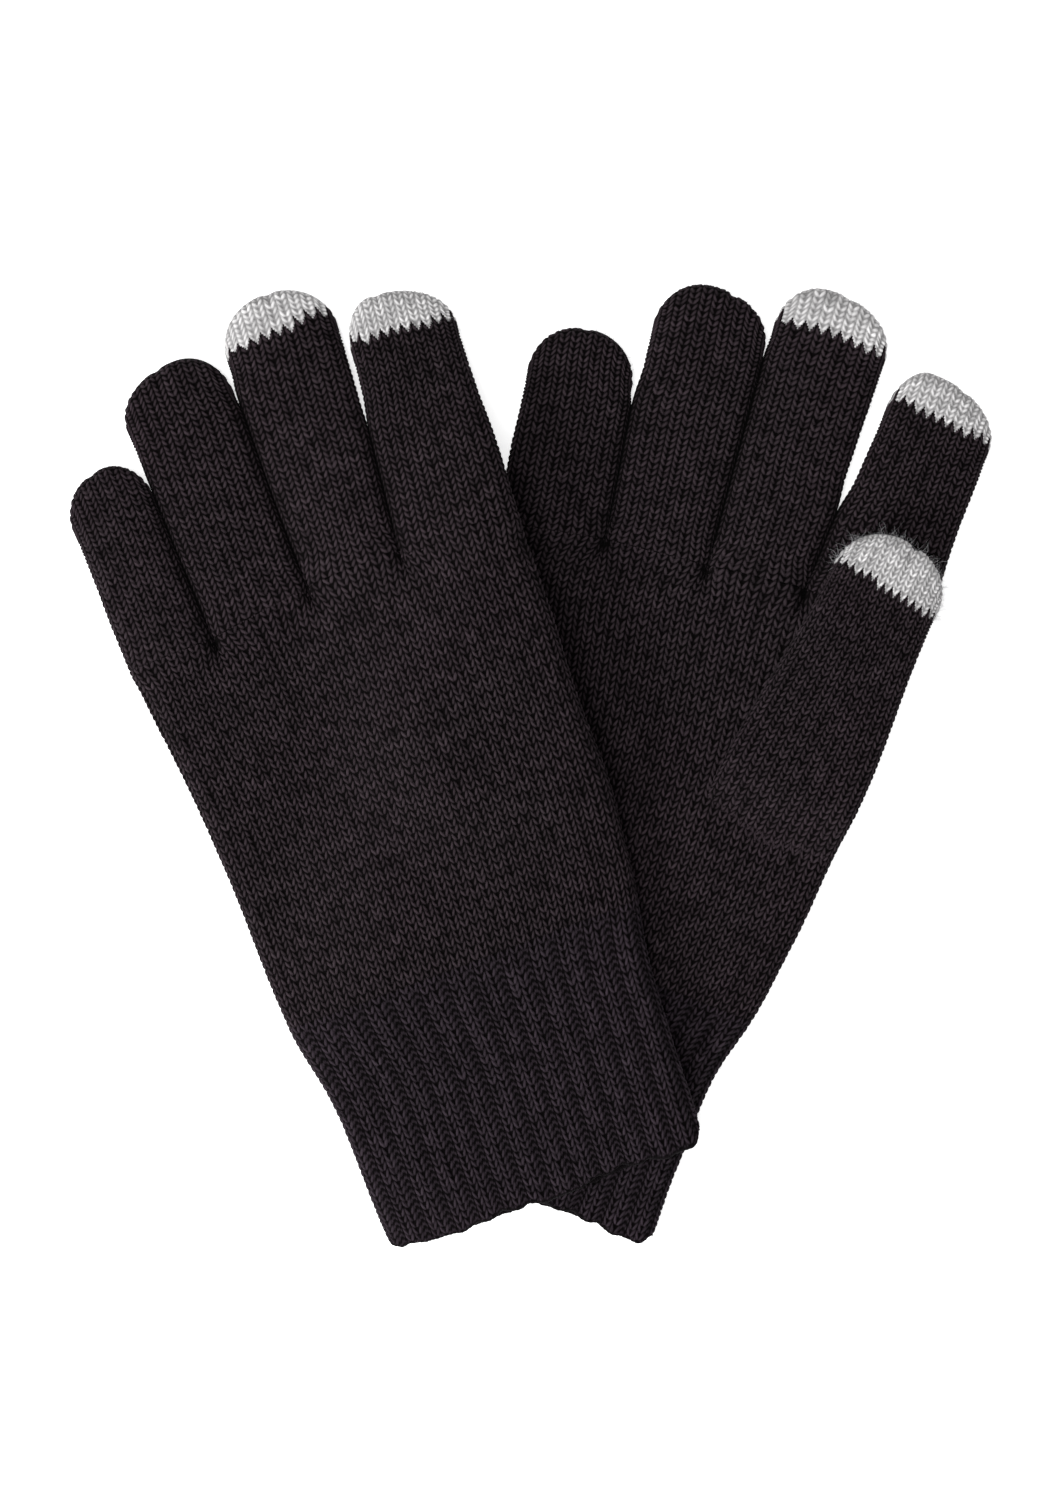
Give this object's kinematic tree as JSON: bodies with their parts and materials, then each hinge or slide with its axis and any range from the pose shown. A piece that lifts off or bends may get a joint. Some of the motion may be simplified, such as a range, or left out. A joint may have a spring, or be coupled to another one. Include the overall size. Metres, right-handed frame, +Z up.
{
  "type": "touchscreen gloves",
  "caption": "Pair of knitted adult gloves with ribbed cuffs and conductive fingertips, lying flat, the left glove over the right.",
  "frame": {"origin": "middle of the outline of the pair as it lies on the table, at table height", "axes": "+Z up from the table, +Y towards the fingertips, +X towards the right glove; both cuffs are at -Y"},
  "size_m": [0.2422, 0.251, 0.027],
  "materials": {
    "plain_knit": "plain stockinette knit, charcoal, matt",
    "rib_knit": "2x1 rib knit, charcoal, matt",
    "conductive_knit": "plain knit in light grey conductive yarn, matt"
  },
  "bodies": {
    "right_hand": {"right_palm": "plain_knit", "right_cuff": "rib_knit", "right_cuff_hem": "rib_knit", "right_little_finger_base": "plain_knit", "right_index_finger_base": "plain_knit"},
    "left_hand": {"left_palm": "plain_knit", "left_cuff": "rib_knit", "left_cuff_hem": "rib_knit"},
    "right_ring_finger_base": {"right_ring_finger_base": "plain_knit"},
    "right_ring_finger_end": {"right_ring_finger_end": "plain_knit"},
    "right_middle_finger_base": {"right_middle_finger_base": "plain_knit"},
    "right_middle_finger_end": {"right_middle_finger_end": "plain_knit", "right_middle_finger_tip": "conductive_knit"},
    "right_little_finger_end": {"right_little_finger_end": "plain_knit"},
    "right_index_finger_end": {"right_index_finger_end": "plain_knit", "right_index_finger_tip": "conductive_knit"},
    "left_little_finger_base": {"left_little_finger_base": "plain_knit"},
    "left_little_finger_end": {"left_little_finger_end": "plain_knit"},
    "left_ring_finger_base": {"left_ring_finger_base": "plain_knit"},
    "left_ring_finger_end": {"left_ring_finger_end": "plain_knit"},
    "left_middle_finger_base": {"left_middle_finger_base": "plain_knit"},
    "left_middle_finger_end": {"left_middle_finger_end": "plain_knit", "left_middle_finger_tip": "conductive_knit"},
    "left_index_finger_base": {"left_index_finger_base": "plain_knit"},
    "left_index_finger_end": {"left_index_finger_end": "plain_knit", "left_index_finger_tip": "conductive_knit"},
    "right_thumb": {"right_thumb": "plain_knit", "right_thumb_tip": "conductive_knit"},
    "left_thumb": {"left_thumb": "plain_knit", "left_thumb_tip": "conductive_knit"}
  },
  "joints": [
    {"name": "left_glove_lift", "type": "slide", "parent": "right_hand", "child": "left_hand", "axis": [0, 0, 1], "range_m": [0, 0.15]},
    {"name": "right_ring_root_fold", "type": "hinge", "parent": "right_hand", "child": "right_ring_finger_base", "pos_m": [0.03312, 0.05572, 0.0045], "axis": [0.9681, -0.2504, 0], "range_deg": [0, 60]},
    {"name": "right_ring_middle_fold", "type": "hinge", "parent": "right_ring_finger_base", "child": "right_ring_finger_end", "pos_m": [0.04159, 0.08846, 0.0045], "axis": [0.9681, -0.2504, 0], "range_deg": [0, 60]},
    {"name": "right_middle_root_fold", "type": "hinge", "parent": "right_hand", "child": "right_middle_finger_base", "pos_m": [0.05928, 0.04929, 0.0045], "axis": [0.9537, -0.3007, 0], "range_deg": [0, 60]},
    {"name": "right_middle_middle_fold", "type": "hinge", "parent": "right_middle_finger_base", "child": "right_middle_finger_end", "pos_m": [0.07048, 0.08481, 0.0045], "axis": [0.9537, -0.3007, 0], "range_deg": [0, 60]},
    {"name": "right_little_middle_fold", "type": "hinge", "parent": "right_hand", "child": "right_little_finger_end", "pos_m": [0.01022, 0.08733, 0.0045], "axis": [0.9833, -0.1822, 0], "range_deg": [0, 60]},
    {"name": "right_index_middle_fold", "type": "hinge", "parent": "right_hand", "child": "right_index_finger_end", "pos_m": [0.09887, 0.06798, 0.0045], "axis": [0.9272, -0.3746, 0], "range_deg": [0, 60]},
    {"name": "left_little_root_fold", "type": "hinge", "parent": "left_hand", "child": "left_little_finger_base", "pos_m": [-0.0938, 0.02903, 0.0045], "axis": [0.9205, 0.3907, 0], "range_deg": [0, 60]},
    {"name": "left_little_middle_fold", "type": "hinge", "parent": "left_little_finger_base", "child": "left_little_finger_end", "pos_m": [-0.10375, 0.05248, 0.0045], "axis": [0.9205, 0.3907, 0], "range_deg": [0, 60]},
    {"name": "left_ring_root_fold", "type": "hinge", "parent": "left_hand", "child": "left_ring_finger_base", "pos_m": [-0.07052, 0.03987, 0.0045], "axis": [0.9317, 0.3633, 0], "range_deg": [0, 60]},
    {"name": "left_ring_middle_fold", "type": "hinge", "parent": "left_ring_finger_base", "child": "left_ring_finger_end", "pos_m": [-0.0828, 0.07137, 0.0045], "axis": [0.9317, 0.3633, 0], "range_deg": [0, 60]},
    {"name": "left_middle_root_fold", "type": "hinge", "parent": "left_hand", "child": "left_middle_finger_base", "pos_m": [-0.04591, 0.05142, 0.01161], "axis": [0.9548, 0.2974, 0], "range_deg": [0, 60]},
    {"name": "left_middle_middle_fold", "type": "hinge", "parent": "left_middle_finger_base", "child": "left_middle_finger_end", "pos_m": [-0.05676, 0.08627, 0.00795], "axis": [0.9548, 0.2974, 0], "range_deg": [0, 60]},
    {"name": "left_index_root_fold", "type": "hinge", "parent": "left_hand", "child": "left_index_finger_base", "pos_m": [-0.01825, 0.06112, 0.02111], "axis": [0.9613, 0.2756, 0], "range_deg": [0, 60]},
    {"name": "left_index_middle_fold", "type": "hinge", "parent": "left_index_finger_base", "child": "left_index_finger_end", "pos_m": [-0.02717, 0.09221, 0.01608], "axis": [0.9613, 0.2756, 0], "range_deg": [0, 60]},
    {"name": "right_thumb_fold", "type": "hinge", "parent": "right_hand", "child": "right_thumb", "pos_m": [0.06629, -0.00742, 0.01375], "axis": [0.9048, -0.4258, 0], "range_deg": [0, 80]},
    {"name": "left_thumb_drop", "type": "hinge", "parent": "left_hand", "child": "left_thumb", "pos_m": [-0.00814, 0.01408, 0.013], "axis": [-0.9573, -0.289, 0], "range_deg": [0, 40]}
  ],
  "couplings": [
    {"joint": "left_thumb_drop", "follows": "left_glove_lift", "rad_per_m": 4.6}
  ]
}
